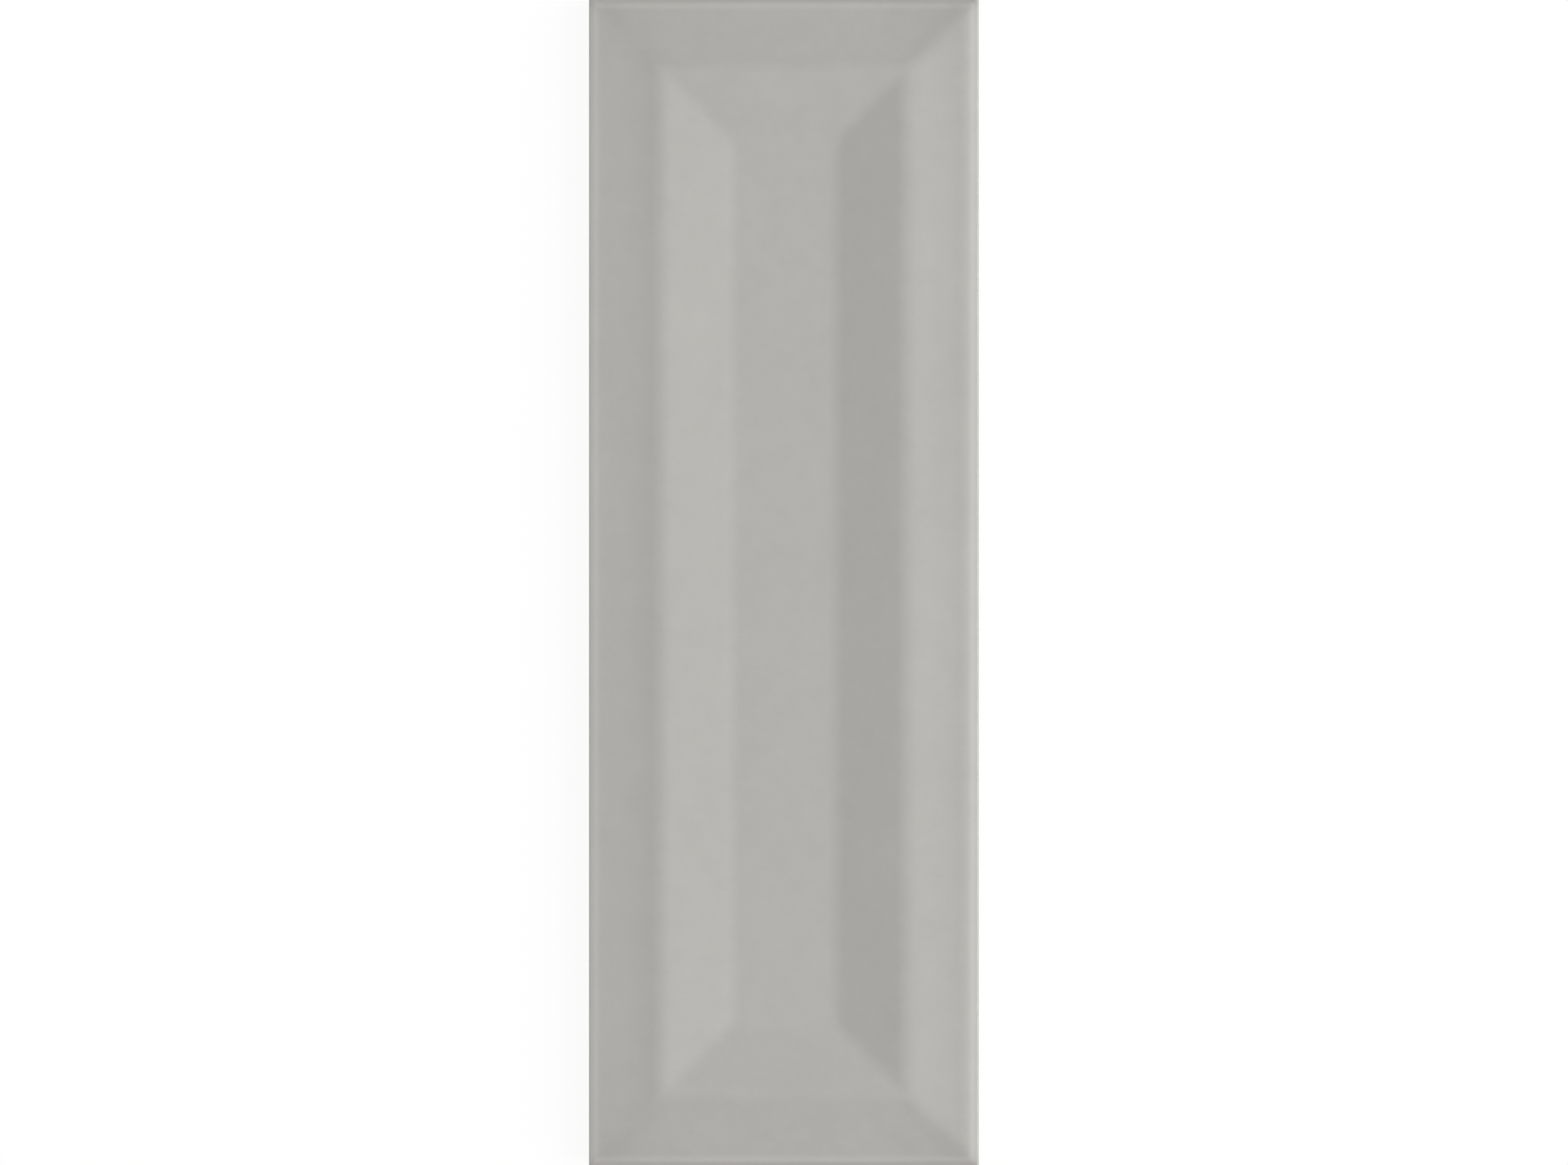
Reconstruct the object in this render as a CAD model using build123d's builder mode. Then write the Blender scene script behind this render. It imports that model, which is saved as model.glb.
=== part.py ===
"""Pressed and glazed ceramic wall tile, 10 x 30 cm, with a framed relief face.

The tile lies flat on its back. The origin is the centre of the back, +Y runs along the
length and +Z points out of the glazed face. A ridge runs round the face. The band outside
it is a cove that ends in a rounded shoulder at the rim, and the band inside it slopes down
to a flat panel.
"""
import os

from build123d import *

# Outline, in millimetres
tile_width = 100.0
tile_length = 300.0
corner_radius = 0.8

# Heights above the back, where the slopes would meet without their rounds
ridge_height = 9.2
shoulder_height = 7.5
rim_height = 6.85
panel_height = 5.7

# Relief face, measured inward from the side walls
shoulder_inset = 4.6
ridge_inset = 18.6
panel_inset = 36.9
panel_margin = 3.0

# Bow of the two curves between rim and ridge, measured from their chords
shoulder_bulge = 0.1
cove_depth = 0.26

# Rounds of the face
rim_radius = 0.6
ridge_radius = 13.0
panel_radius = 18.0

# Lead-in along the foot of the side walls
foot_inset = 0.7
foot_height = 1.8

# Keying cells pressed into the back
key_border = 6.0
key_rib = 3.0
key_cell = 19.5
key_depth = 0.8
key_corner = 2.0
key_draft = 35.0

# Derived sizes
half_width = tile_width / 2
half_length = tile_length / 2
core_inset = panel_inset + panel_margin
key_columns = round((tile_width - 2 * key_border + key_rib) / (key_cell + key_rib))
key_rows = round((tile_length - 2 * key_border + key_rib) / (key_cell + key_rib))
key_pitch_x = (tile_width - 2 * key_border + key_rib) / key_columns
key_pitch_y = (tile_length - 2 * key_border + key_rib) / key_rows

# Corners of the section, with the distance from the tile's axis first and the height second
foot_point = (half_width - foot_inset, 0)
wall_point = (half_width, foot_height)
rim_point = (half_width, rim_height)
shoulder_point = (half_width - shoulder_inset, shoulder_height)
ridge_point = (half_width - ridge_inset, ridge_height)
panel_point = (half_width - panel_inset, panel_height)
core_top_point = (half_width - core_inset, panel_height)
core_foot_point = (half_width - core_inset, 0)

with BuildPart() as wall_tile:
    # The side walls' run round the tile, started at the middle of one long side
    with BuildLine() as outline:
        Polyline(
            (half_width, 0),
            (half_width, half_length),
            (-half_width, half_length),
            (-half_width, -half_length),
            (half_width, -half_length),
            (half_width, 0),
        )

    # Section of the frame from the back, up the wall, over the ridge and down to the panel
    with BuildSketch(Plane.XZ) as section:
        with BuildLine():
            Polyline(core_foot_point, foot_point, wall_point, rim_point)
            SagittaArc(rim_point, shoulder_point, -shoulder_bulge)
            SagittaArc(shoulder_point, ridge_point, cove_depth)
            Polyline(ridge_point, panel_point, core_top_point, core_foot_point)
        make_face()
        fillet(section.vertices().sort_by_distance(rim_point)[0], rim_radius)
        fillet(section.vertices().sort_by_distance(ridge_point)[0], ridge_radius)
        fillet(section.vertices().sort_by_distance(panel_point)[0], panel_radius)

    # Frame with mitred corners, then the middle under the flat panel
    sweep(path=outline.wire(), transition=Transition.RIGHT)
    with BuildSketch() as core:
        Rectangle(tile_width - 2 * core_inset, tile_length - 2 * core_inset)
    extrude(amount=panel_height)

    # Softened upright corners of the outline
    with BuildSketch() as blank:
        RectangleRounded(tile_width, tile_length, corner_radius)
    extrude(amount=ridge_height, mode=Mode.INTERSECT)

    # Drafted keying cells between the ribs of the back
    with BuildSketch() as keys:
        with GridLocations(key_pitch_x, key_pitch_y, key_columns, key_rows):
            RectangleRounded(key_pitch_x - key_rib, key_pitch_y - key_rib, key_corner)
    extrude(amount=key_depth, taper=key_draft, mode=Mode.SUBTRACT)

os.makedirs("parts", exist_ok=True)
wall_tile.part.label = "wall_tile"
export_step(wall_tile.part, "parts/wall_tile.step")
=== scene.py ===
"""Looks of the framed wall tile: a fine mesh of the fired piece, grey glaze over pale biscuit.

The tile's lengths are in millimetres, and turn into metres where a mesh, bump or camera is made.
Lamps and floor are placed in metres. The tile lies on its back. +X is to the right in the
photograph, +Y is up and +Z faces the camera.
"""
import math

import bpy
import numpy as np
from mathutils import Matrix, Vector, noise
from mathutils.geometry import delaunay_2d_cdt


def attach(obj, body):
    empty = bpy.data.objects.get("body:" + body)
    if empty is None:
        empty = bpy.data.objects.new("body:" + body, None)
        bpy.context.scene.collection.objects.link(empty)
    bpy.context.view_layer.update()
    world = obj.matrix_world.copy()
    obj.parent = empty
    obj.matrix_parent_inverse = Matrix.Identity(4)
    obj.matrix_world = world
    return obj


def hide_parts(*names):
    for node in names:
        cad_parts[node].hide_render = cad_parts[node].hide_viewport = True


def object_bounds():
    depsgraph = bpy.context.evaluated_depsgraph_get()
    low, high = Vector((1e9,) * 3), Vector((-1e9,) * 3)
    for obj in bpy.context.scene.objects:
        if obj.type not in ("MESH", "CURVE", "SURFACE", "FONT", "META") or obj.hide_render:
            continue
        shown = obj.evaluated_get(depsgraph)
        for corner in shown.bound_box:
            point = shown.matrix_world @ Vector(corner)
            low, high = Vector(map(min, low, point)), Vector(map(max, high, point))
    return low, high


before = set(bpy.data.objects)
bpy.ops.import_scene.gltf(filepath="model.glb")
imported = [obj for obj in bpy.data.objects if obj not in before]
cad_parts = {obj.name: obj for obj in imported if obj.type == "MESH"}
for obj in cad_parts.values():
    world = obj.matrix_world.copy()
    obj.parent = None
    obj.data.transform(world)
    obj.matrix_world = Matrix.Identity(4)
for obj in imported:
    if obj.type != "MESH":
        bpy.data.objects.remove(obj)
cad_low, cad_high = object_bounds()

MM = 0.001

# Outline, from the frame
half_width = cad_high.x / MM
half_length = cad_high.y / MM
corner_radius = 0.8

# Relief face, as heights above the back and insets from the side walls
rim_height = 6.85
shoulder_height = 7.5
ridge_height = 9.2
panel_height = 5.7
shoulder_inset = 4.6
ridge_inset = 18.6
panel_inset = 36.9
shoulder_bulge = 0.1
cove_depth = 0.26
rim_radius = 0.46

# Softness of the relief: height over which two slopes melt together, and width of a mitre
ridge_blend = 1.0
panel_blend = 0.34
mitre_blend = 2.2
mitre_growth = 5.0

# Slow waves that pressing and firing leave in the face
wave_length = 34.0
wave_depth = 0.03
wave_seed = 3.0

# Side walls: glaze runs down to a ragged lip over the bare body
glaze_line = 2.9
glaze_wander = 0.5
glaze_wander_length = 11.0
glaze_wander_seed = 7.0
glaze_thickness = 0.12
lip_bevel = 0.04
foot_inset = 0.7
foot_height = 1.8

# Keying cells of the back
key_border = 6.0
key_rib = 3.0
key_cell = 19.5
key_depth = 0.8
key_corner = 2.0
key_draft = 35.0
key_soft = 0.12
key_corner_steps = 6

# Depth of the glaze from 0, thin, to 1, thick, with insets from the side walls. On the face the same
# value also carries painted shade, as more depth darkens the colour
panel_depth = 0.56
wall_depth = 0.4
lip_depth = 0.1

# A long side's depth passes into a short end's over the mitre, and the outer band's ends at the ridge
band_fade = 3.0
ridge_fade_outside = 3.0
ridge_fade_inside = 1.5

# More depth, so a darker colour, along the foot of the shoulder, and over the ridge and the slopes
# inside it, less on the ends
slope_darkening_gain = 0.07
slope_darkening_end_loss = 0.5
foot_line = 5.4
foot_line_width = 1.6
slope_darkening_start = (12.5, 17.5)
slope_darkening_end = (33.5, 36.5)

# Painted shade: extra depth, which darkens the colour, on the outer bands of the short ends, in the
# corners and along the outer mitres
end_band_shade_gain = 0.17
corner_shade_gain = 0.24
corner_shade_side_share = 0.5
corner_shade_reach = 24.0
mitre_shade_gain = 0.13
mitre_shade_shift = 1.0
mitre_shade_width = 4.5
mitre_shade_fade = (10.0, 24.0)

# It runs thin on the rims of the long sides and in a line along the short ends. A darker band right at
# the edge is painted shade
side_loss = 0.66
side_thin = 2.4
side_falloff = 6
end_line = 2.2
end_line_width = 0.7
end_line_loss = 0.3
edge_shade_gain = 0.34
edge_shade_reach = (0.8, 1.6)

# Colours, as linear values
glaze_thin_colour = (0.493, 0.482, 0.456)
glaze_thick_colour = (0.367, 0.358, 0.338)
biscuit_pale_colour = (0.62, 0.57, 0.5)
biscuit_warm_colour = (0.54, 0.485, 0.41)

# Textures: size of the spots, detail of the noise, and the two values that it moves between
glaze_flow = (5.0, 2, -0.05, 0.05)
glaze_clouds = (26.0, 2, 0.988, 1.012)
glaze_speckle = (1.3, 2, 0.992, 1.008)
biscuit_patches = (16.0, 3, 0.0, 1.0)
biscuit_dust = (0.8, 4, 0.93, 1.06)
biscuit_grit = (0.45, 1, 1.0, 0.9)
biscuit_roughness = (3.0, 2, 0.8, 0.95)

# The glaze stays below a roughness of 0.27, or denoised renders show its rougher spots as patches
glaze_roughness = (8.0, 3, 0.21, 0.25)

# Fine bumps: their size, detail of the noise, and depth
glaze_ripple = (6.0, 1, 0.01)
biscuit_grain = (0.6, 4, 0.09)

# Floor below the back, so that the two planes don't meet
floor_gap = 0.05

# Mesh spacing: steps round the rim, then the step up to each inset, then across the middle
rim_steps = 10
face_steps = ((4.0, 0.3), (6.0, 0.5), (15.5, 1.1), (22.0, 0.5), (34.5, 1.1), (39.0, 0.45))
middle_step_across = 1.5
middle_step_along = 2.5

# Angle in degrees between two faces from which their edge is shaded sharp
sharp_angle = 18.0

# Camera with a long lens, and the widths of the photograph and of the tile in it, in pixels
lens = 180.0
sensor_width = 36.0
clip_end = 100.0
photo_width = 1600
tile_pixels = 398

# Material slots of the mesh
GLAZE, BISCUIT = 0, 1

# Range that holds most values of a noise node
NOISE_RANGE = (0.3, 0.7)

# Places of the colours among the sockets of a Mix node
MIX_FIRST, MIX_SECOND, MIX_RESULT = 6, 7, 2

WHITE = (1, 1, 1, 1)

# Smallest blend, so that smooth_min never divides by zero
LEAST_BLEND = 1e-6


def smooth_min(a, b, blend):
    """The lower of two fields, melted together where they differ by less than blend."""
    near = np.clip(blend - np.abs(a - b), 0, None)
    return np.minimum(a, b) - near * near / (4 * np.maximum(blend, LEAST_BLEND))


def smooth_step(low, high, value):
    """0 up to low and 1 from high on, with a smooth rise between them."""
    t = np.clip((value - low) / (high - low), 0, 1)
    return t * t * (3 - 2 * t)


def hump(value, centre, width):
    """1 at the centre, falling off smoothly over the width to each side."""
    return np.exp(-(((value - centre) / width) ** 2))


def wave(x, y, length, seed):
    """Smooth noise between -1 and 1 at every point of two equal arrays."""
    spots = zip(np.ravel(x), np.ravel(y))
    values = [noise.noise(Vector((a / length, b / length, seed))) for a, b in spots]
    return np.reshape(values, np.shape(x))


def inset_lines():
    """Insets of the mesh lines from a side wall to the flat panel, close together on the rim."""
    turn = np.linspace(0, math.pi / 2, rim_steps + 1)
    lines = list(rim_radius * (1 - np.cos(turn)))
    for end, step in face_steps:
        count = math.ceil((end - lines[-1]) / step)
        lines += list(np.linspace(lines[-1], end, count + 1)[1:])
    return np.array(lines)


def axis_lines(half, middle_step):
    """Mesh lines from one side of the tile to the other."""
    edge = half - inset_lines()
    count = math.ceil(2 * edge[-1] / middle_step)
    middle = np.linspace(-edge[-1], edge[-1], count + 1)
    return np.concatenate([-edge[:-1], middle, edge[:-1][::-1]])


def round_corners(x, y):
    """Moves the points in the square corners of the grid onto the rounded outline."""
    a = np.clip((np.abs(x) - half_width) / corner_radius + 1, 0, 1)
    b = np.clip((np.abs(y) - half_length) / corner_radius + 1, 0, 1)
    across = np.minimum(np.abs(x), half_width - corner_radius)
    across += corner_radius * a * np.sqrt(1 - b * b / 2)
    along = np.minimum(np.abs(y), half_length - corner_radius)
    along += corner_radius * b * np.sqrt(1 - a * a / 2)
    return np.sign(x) * across, np.sign(y) * along


def edge_distance(x, y):
    """Distance from the outline, with the mitres softened away from the rim."""
    dx = half_width - np.abs(x)
    dy = half_length - np.abs(y)
    nearest = np.minimum(dx, dy)
    softness = mitre_blend * smooth_step(corner_radius, corner_radius + mitre_growth, nearest)
    inside = smooth_min(dx, dy, softness)
    corner = np.hypot(np.clip(corner_radius - dx, 0, None), np.clip(corner_radius - dy, 0, None))
    return np.where(nearest < corner_radius, np.clip(corner_radius - corner, 0, None), inside)


def bow(u, start, end, rise):
    """Height of a shallow arc from start to end, each an inset and a height, bowed up by rise."""
    t = (u - start[0]) / (end[0] - start[0])
    return start[1] + (end[1] - start[1]) * t + 4 * rise * t * (1 - t)


def face_height(u):
    """Height of the glazed face at a distance u from the outline."""
    rim = (0, rim_height)
    shoulder = (shoulder_inset, shoulder_height)
    crest = (ridge_inset, ridge_height)
    panel = (panel_inset, panel_height)
    outer = np.where(
        u < shoulder_inset,
        bow(u, rim, shoulder, shoulder_bulge),
        bow(u, shoulder, crest, -cove_depth),
    )
    ridge = smooth_min(outer, bow(u, crest, panel, 0), ridge_blend)
    face = -smooth_min(-ridge, -panel_height, panel_blend)
    turned = np.clip(rim_radius - u, 0, None)
    return face - rim_radius + np.sqrt(rim_radius**2 - turned**2)


def glaze_depth_and_shade(x, y):
    """Depth of the glaze on the face, with painted shade added as extra depth on the ends' outer bands,
    the corners, the outer mitres and the very edge.
    """
    dx = half_width - np.abs(x)
    dy = half_length - np.abs(y)
    nearest = np.minimum(dx, dy)
    ends = smooth_step(-band_fade, band_fade, dx - dy)
    outer = 1 - smooth_step(ridge_inset - ridge_fade_outside, ridge_inset + ridge_fade_inside, nearest)
    slopes = smooth_step(*slope_darkening_start, nearest) * (1 - smooth_step(*slope_darkening_end, nearest))
    foot = hump(nearest, foot_line, foot_line_width) * (1 - ends)
    corner_shade_share = corner_shade_side_share + (1 - corner_shade_side_share) * ends
    corner = hump(dx + dy, 0, corner_shade_reach) * corner_shade_share
    mitre = hump(dx - dy, mitre_shade_shift, mitre_shade_width) * (1 - smooth_step(*mitre_shade_fade, nearest))
    gain = slope_darkening_gain * (foot + slopes * (1 - slope_darkening_end_loss * ends))
    # Painted shade: extra depth darkens the ends' outer bands, the corners and the outer mitres
    gain += outer * (end_band_shade_gain * ends + corner_shade_gain * corner + mitre_shade_gain * mitre)
    # Painted shade: extra depth darkens a band along the very edge
    gain += edge_shade_gain * (1 - smooth_step(*edge_shade_reach, nearest))
    gain -= end_line_loss * ends * hump(nearest, end_line, end_line_width)
    gain -= side_loss * (1 - ends) / (1 + (nearest / side_thin) ** side_falloff)
    return np.clip(panel_depth + gain, 0, 1)


class Shell:
    """Collects the points, glaze depths, faces and finishes of one closed mesh."""

    def __init__(self):
        self.points = []
        self.depths = []
        self.faces = []
        self.finishes = []

    def add_points(self, xyz, depth):
        """Adds points with one glaze depth, or one each. Returns their indices."""
        first = len(self.points)
        self.points.extend(map(tuple, xyz))
        self.depths.extend(np.broadcast_to(depth, len(xyz)))
        return list(range(first, len(self.points)))

    def add_loop(self, outline, height, depth=0.0):
        """Adds the points of an outline at one height, or one each. Returns their indices."""
        heights = np.broadcast_to(height, len(outline))
        return self.add_points(np.column_stack([outline, heights]), depth)

    def add_face(self, corners, finish):
        self.faces.append(list(map(int, corners)))
        self.finishes.append(finish)

    def add_strip(self, outer, inner, finish):
        """Adds quads between two closed loops with as many points each."""
        for k in range(len(outer)):
            after = (k + 1) % len(outer)
            self.add_face((outer[k], inner[k], inner[after], outer[after]), finish)


def add_glazed_face(shell):
    """The relief face as a grid. Returns the indices of its outer loop, anticlockwise from above."""
    xs = axis_lines(half_width, middle_step_across)
    ys = axis_lines(half_length, middle_step_along)
    x, y = np.meshgrid(xs, ys, indexing="ij")
    x, y = round_corners(x, y)
    u = edge_distance(x, y)
    swell = (1 + wave(x, y, wave_length, wave_seed)) / 2
    z = face_height(u) - wave_depth * smooth_step(0, rim_radius, u) * swell
    points = np.stack([x.ravel(), y.ravel(), z.ravel()], 1)
    ids = np.array(shell.add_points(points, glaze_depth_and_shade(x, y).ravel())).reshape(x.shape)
    for i in range(len(xs) - 1):
        for j in range(len(ys) - 1):
            shell.add_face((ids[i, j], ids[i + 1, j], ids[i + 1, j + 1], ids[i, j + 1]), GLAZE)
    return [*ids[:, 0], *ids[-1, 1:], *ids[-2::-1, -1], *ids[0, -2:0:-1]]


def add_walls(shell, rim):
    """Glazed upper wall, the lip of the glaze, bare wall and lead-in. Returns the loop on the back."""
    outline = np.array([shell.points[k][:2] for k in rim])
    core = np.array([half_width - corner_radius, half_length - corner_radius])
    past = np.clip(np.abs(outline) - core, 0, None) * np.sign(outline)
    normal = past / np.linalg.norm(past, axis=1)[:, None]
    wander = wave(outline[:, 0], outline[:, 1], glaze_wander_length, glaze_wander_seed)
    line = glaze_line + glaze_wander * wander

    # Inset, height and glaze depth of each loop from the rim down, and the finish of the strip above it
    bare = glaze_thickness
    levels = (
        (0, (line + rim_height) / 2, wall_depth, GLAZE),
        (0, line + glaze_thickness, lip_depth, GLAZE),
        (lip_bevel, line + lip_bevel, lip_depth, GLAZE),
        (bare, line, lip_depth, GLAZE),
        (bare, foot_height, 0, BISCUIT),
        (bare + foot_inset / 2, foot_height / 2, 0, BISCUIT),
        (foot_inset, 0, 0, BISCUIT),
    )
    upper = rim
    for inset, height, depth, finish in levels:
        lower = shell.add_loop(outline - inset * normal, height, depth)
        shell.add_strip(upper, lower, finish)
        upper = lower
    return upper


def rounded_loop(centre, half_x, half_y, radius):
    """Points of a rounded rectangle, anticlockwise from above."""
    points = []
    for quarter, (sx, sy) in enumerate(((1, 1), (-1, 1), (-1, -1), (1, -1))):
        for turn in np.linspace(0, math.pi / 2, key_corner_steps + 1) + quarter * math.pi / 2:
            across = centre[0] + sx * (half_x - radius) + radius * math.cos(turn)
            along = centre[1] + sy * (half_y - radius) + radius * math.sin(turn)
            points.append((across, along))
    return np.array(points)


def key_centres(half):
    """Centres of the keying cells along one axis, and half the size of a cell."""
    room = 2 * half - 2 * key_border + key_rib
    count = round(room / (key_cell + key_rib))
    pitch = room / count
    return (np.arange(count) - (count - 1) / 2) * pitch, (pitch - key_rib) / 2


def add_back(shell, foot):
    """Flat ribs of the back with drafted keying cells pressed between them."""
    columns, half_x = key_centres(half_width)
    rows, half_y = key_centres(half_length)
    draft = key_depth * math.tan(math.radians(key_draft))

    # Inset and depth of each ring of a cell, with both edges of its wall bevelled
    profile = (
        (-key_soft, 0),
        (key_soft / 2, key_soft / 2),
        (draft - key_soft / 2, key_depth - key_soft / 2),
        (draft + key_soft, key_depth),
    )
    loops = [foot]
    for across in columns:
        for along in rows:
            rings = []
            for inset, depth in profile:
                ring = rounded_loop((across, along), half_x - inset, half_y - inset, key_corner - inset)
                rings.append(shell.add_loop(ring, depth))
            for outer, inner in zip(rings, rings[1:]):
                shell.add_strip(outer, inner, BISCUIT)
            shell.add_face(rings[-1][::-1], BISCUIT)
            loops.append(rings[0])
    add_land(shell, loops)


def add_land(shell, loops):
    """Fills the plane between the foot loop and the mouths of the cells."""
    owner = [n for n, loop in enumerate(loops) for _ in loop]
    ids = [k for loop in loops for k in loop]
    edges = []
    for loop in loops:
        first = len(edges)
        edges += [(first + k, first + (k + 1) % len(loop)) for k in range(len(loop))]
    flat = [Vector(shell.points[k][:2]) for k in ids]
    fill_hull, merge_distance = 0, 1e-7
    _, _, triangles, *_ = delaunay_2d_cdt(flat, edges, [], fill_hull, merge_distance)
    for corners in triangles:
        owners = {owner[k] for k in corners}
        if len(owners) > 1 or owners == {0}:
            shell.add_face([ids[k] for k in corners][::-1], BISCUIT)


def make_tile():
    """The fired tile as one closed mesh."""
    shell = Shell()
    rim = add_glazed_face(shell)
    foot = add_walls(shell, rim)
    add_back(shell, foot)
    mesh = bpy.data.meshes.new("fired_tile")
    mesh.from_pydata(np.array(shell.points) * MM, [], shell.faces)
    mesh.polygons.foreach_set("material_index", shell.finishes)
    mesh.polygons.foreach_set("use_smooth", [True] * len(mesh.polygons))
    mesh.set_sharp_from_angle(angle=math.radians(sharp_angle))
    mesh.attributes.new("glaze_depth_and_shade", "FLOAT", "POINT").data.foreach_set("value", shell.depths)
    tile = bpy.data.objects.new("fired_tile", mesh)
    bpy.context.scene.collection.objects.link(tile)
    return tile


class Paint:
    """One node material, built round its Principled shader."""

    def __init__(self, name):
        self.material = bpy.data.materials.new(name)
        self.material.use_nodes = True
        self.tree = self.material.node_tree
        self.shader = self.tree.nodes["Principled BSDF"]

    def node(self, kind, **settings):
        made = self.tree.nodes.new(kind)
        for key, value in settings.items():
            setattr(made, key, value)
        return made

    def link(self, source, made, socket):
        self.tree.links.new(source, made.inputs[socket])

    def grain(self, size, detail):
        """Noise between 0 and 1 with spots of about this size in millimetres."""
        place = self.node("ShaderNodeTexCoord")
        made = self.node("ShaderNodeTexNoise")
        made.inputs["Scale"].default_value = 1 / (size * MM)
        made.inputs["Detail"].default_value = detail
        self.link(place.outputs["Object"], made, "Vector")
        return made.outputs["Fac"]

    def mottle(self, size, detail, low, high):
        """Noise that mostly lies between low and high."""
        made = self.node("ShaderNodeMapRange", clamp=False)
        made.inputs["From Min"].default_value, made.inputs["From Max"].default_value = NOISE_RANGE
        made.inputs["To Min"].default_value = low
        made.inputs["To Max"].default_value = high
        self.link(self.grain(size, detail), made, "Value")
        return made.outputs["Result"]

    def combine(self, operation, first, second):
        made = self.node("ShaderNodeMath", operation=operation)
        self.link(first, made, 0)
        self.link(second, made, 1)
        return made.outputs[0]

    def between(self, share, first, second):
        """A colour that goes from the first to the second as share goes from 0 to 1."""
        made = self.node("ShaderNodeMix", data_type="RGBA")
        self.link(share, made, "Factor")
        made.inputs[MIX_FIRST].default_value = (*first, 1)
        made.inputs[MIX_SECOND].default_value = (*second, 1)
        return made.outputs[MIX_RESULT]

    def scaled(self, colour, factor):
        made = self.node("ShaderNodeVectorMath", operation="SCALE")
        self.link(colour, made, 0)
        self.link(factor, made, "Scale")
        return made.outputs[0]

    def relief(self, size, detail, depth):
        """Bumps of this size and depth in millimetres on the shader."""
        made = self.node("ShaderNodeBump")
        made.inputs["Distance"].default_value = depth * MM
        self.link(self.grain(size, detail), made, "Height")
        self.link(made.outputs["Normal"], self.shader, "Normal")


def glaze_material():
    """Grey satin glaze, paler where it is thin and darker where painted shade raises its depth, with
    faint clouds, fine speckle and a slight ripple.
    """
    paint = Paint("grey_glaze")
    depth = paint.node("ShaderNodeAttribute", attribute_name="glaze_depth_and_shade").outputs["Fac"]
    flowed = paint.combine("ADD", depth, paint.mottle(*glaze_flow))
    colour = paint.between(flowed, glaze_thin_colour, glaze_thick_colour)
    tone = paint.combine("MULTIPLY", paint.mottle(*glaze_clouds), paint.mottle(*glaze_speckle))
    paint.link(paint.scaled(colour, tone), paint.shader, "Base Color")
    paint.link(paint.mottle(*glaze_roughness), paint.shader, "Roughness")
    paint.relief(*glaze_ripple)
    return paint.material


def biscuit_material():
    """Bare pressed clay: pale, dusty and finely grained, with a few darker grains."""
    paint = Paint("pale_biscuit")
    colour = paint.between(paint.mottle(*biscuit_patches), biscuit_pale_colour, biscuit_warm_colour)
    tone = paint.combine("MULTIPLY", paint.mottle(*biscuit_dust), paint.mottle(*biscuit_grit))
    paint.link(paint.scaled(colour, tone), paint.shader, "Base Color")
    paint.link(paint.mottle(*biscuit_roughness), paint.shader, "Roughness")
    paint.relief(*biscuit_grain)
    return paint.material


def add_lamp(name, azimuth, elevation, distance, width, height, power, mirrored):
    """A softbox aimed at the tile, seen in reflections or not. Azimuth 0 is the picture's right."""
    lamp = bpy.data.lights.new(name, "AREA")
    lamp.shape = "RECTANGLE"
    lamp.size = width
    lamp.size_y = height
    lamp.energy = power
    holder = bpy.data.objects.new(name, lamp)
    a, e = math.radians(azimuth), math.radians(elevation)
    out = Vector((math.cos(a) * math.cos(e), math.sin(a) * math.cos(e), math.sin(e)))
    holder.location = out * distance
    holder.rotation_euler = out.to_track_quat("Z", "Y").to_euler()
    holder.visible_camera = False
    holder.visible_glossy = mirrored
    bpy.context.scene.collection.objects.link(holder)


def seen_ray(tree):
    """A node socket that is 1 for camera, glossy and transmission rays, and 0 for the rest."""
    path = tree.nodes.new("ShaderNodeLightPath")
    total = path.outputs["Is Camera Ray"]
    for kind in ("Is Glossy Ray", "Is Transmission Ray"):
        both = tree.nodes.new("ShaderNodeMath")
        both.operation = "MAXIMUM"
        tree.links.new(total, both.inputs[0])
        tree.links.new(path.outputs[kind], both.inputs[1])
        total = both.outputs[0]
    return total


def make_world(ambient):
    """White to the eye and in reflections, and a soft even fill on the object."""
    world = bpy.data.worlds.new("studio")
    bpy.context.scene.world = world
    world.use_nodes = True
    tree = world.node_tree
    background = tree.nodes["Background"]
    background.inputs["Color"].default_value = WHITE
    strength = tree.nodes.new("ShaderNodeMapRange")
    strength.inputs["To Min"].default_value = ambient
    strength.inputs["To Max"].default_value = 1.0
    tree.links.new(seen_ray(tree), strength.inputs["Value"])
    tree.links.new(strength.outputs["Result"], background.inputs["Strength"])


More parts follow.
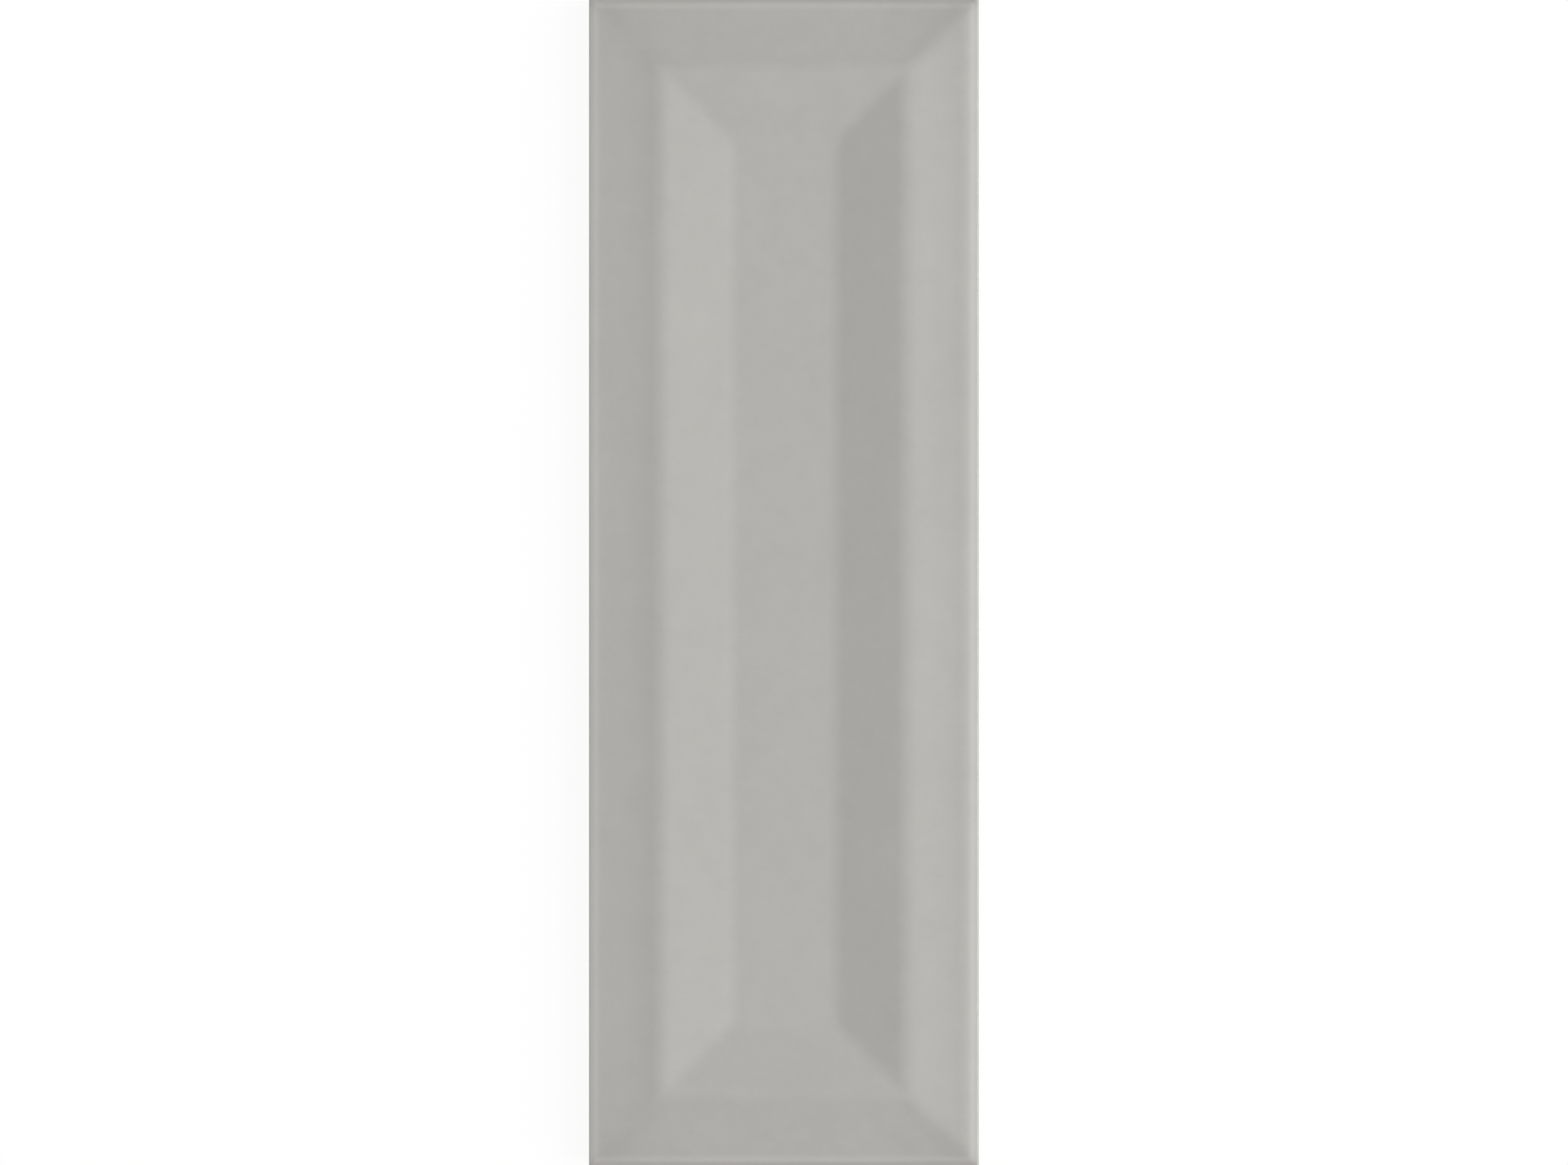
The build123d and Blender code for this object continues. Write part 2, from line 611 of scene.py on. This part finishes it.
def make_floor(glow, bounce, half_size):
    """A white floor that shows the tile's shadow and throws soft light back at its sides."""
    mesh = bpy.data.meshes.new("floor")
    square = ((-1, -1), (1, -1), (1, 1), (-1, 1))
    corners = [(x * half_size, y * half_size, -floor_gap * MM) for x, y in square]
    mesh.from_pydata(corners, [], [(0, 1, 2, 3)])
    floor = bpy.data.objects.new("floor", mesh)
    bpy.context.scene.collection.objects.link(floor)
    paint = Paint("white_floor")
    paint.shader.inputs["Roughness"].default_value = 1.0
    paint.shader.inputs["Specular IOR Level"].default_value = 0.0
    paint.shader.inputs["Emission Color"].default_value = WHITE
    seen = seen_ray(paint.tree)
    tone = paint.between(seen, [bounce] * 3, [1 - glow] * 3)
    paint.link(tone, paint.shader, "Base Color")
    strength = paint.node("ShaderNodeMapRange")
    strength.inputs["To Max"].default_value = glow
    paint.link(seen, strength, "Value")
    paint.link(strength.outputs["Result"], paint.shader, "Emission Strength")
    mesh.materials.append(paint.material)


def make_camera():
    """A long lens straight above the tile, with the tile's width as wide as in the photograph."""
    view_width = 2 * half_width * photo_width / tile_pixels
    camera = bpy.data.cameras.new("camera")
    camera.lens = lens
    camera.sensor_width = sensor_width
    camera.clip_end = clip_end
    holder = bpy.data.objects.new("camera", camera)
    holder.location = (0, 0, (rim_height + view_width * lens / sensor_width) * MM)
    bpy.context.scene.collection.objects.link(holder)
    bpy.context.scene.camera = holder


tile = make_tile()
tile.data.materials.append(glaze_material())
tile.data.materials.append(biscuit_material())
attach(tile, "root")
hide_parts("wall_tile")

make_world(ambient=0.505)
make_floor(glow=0.92, bounce=0.6, half_size=6.0)

# Only half of the key light is mirrored, so that the glaze doesn't turn white in low views.
# The mirrored half stands in front, because the other half would hide it from reflections.
key_place = dict(azimuth=-1.5, elevation=31, width=9.0, height=6.0)
fill_place = dict(azimuth=180, elevation=35, width=4.0, height=2.8)
add_lamp("key_right", **key_place, distance=7.2, power=300, mirrored=False)
add_lamp("key_glint", **key_place, distance=7.1, power=294, mirrored=True)
add_lamp("fill_left", **fill_place, distance=7.2, power=56, mirrored=True)
make_camera()
bpy.context.scene.view_settings.view_transform = "Standard"
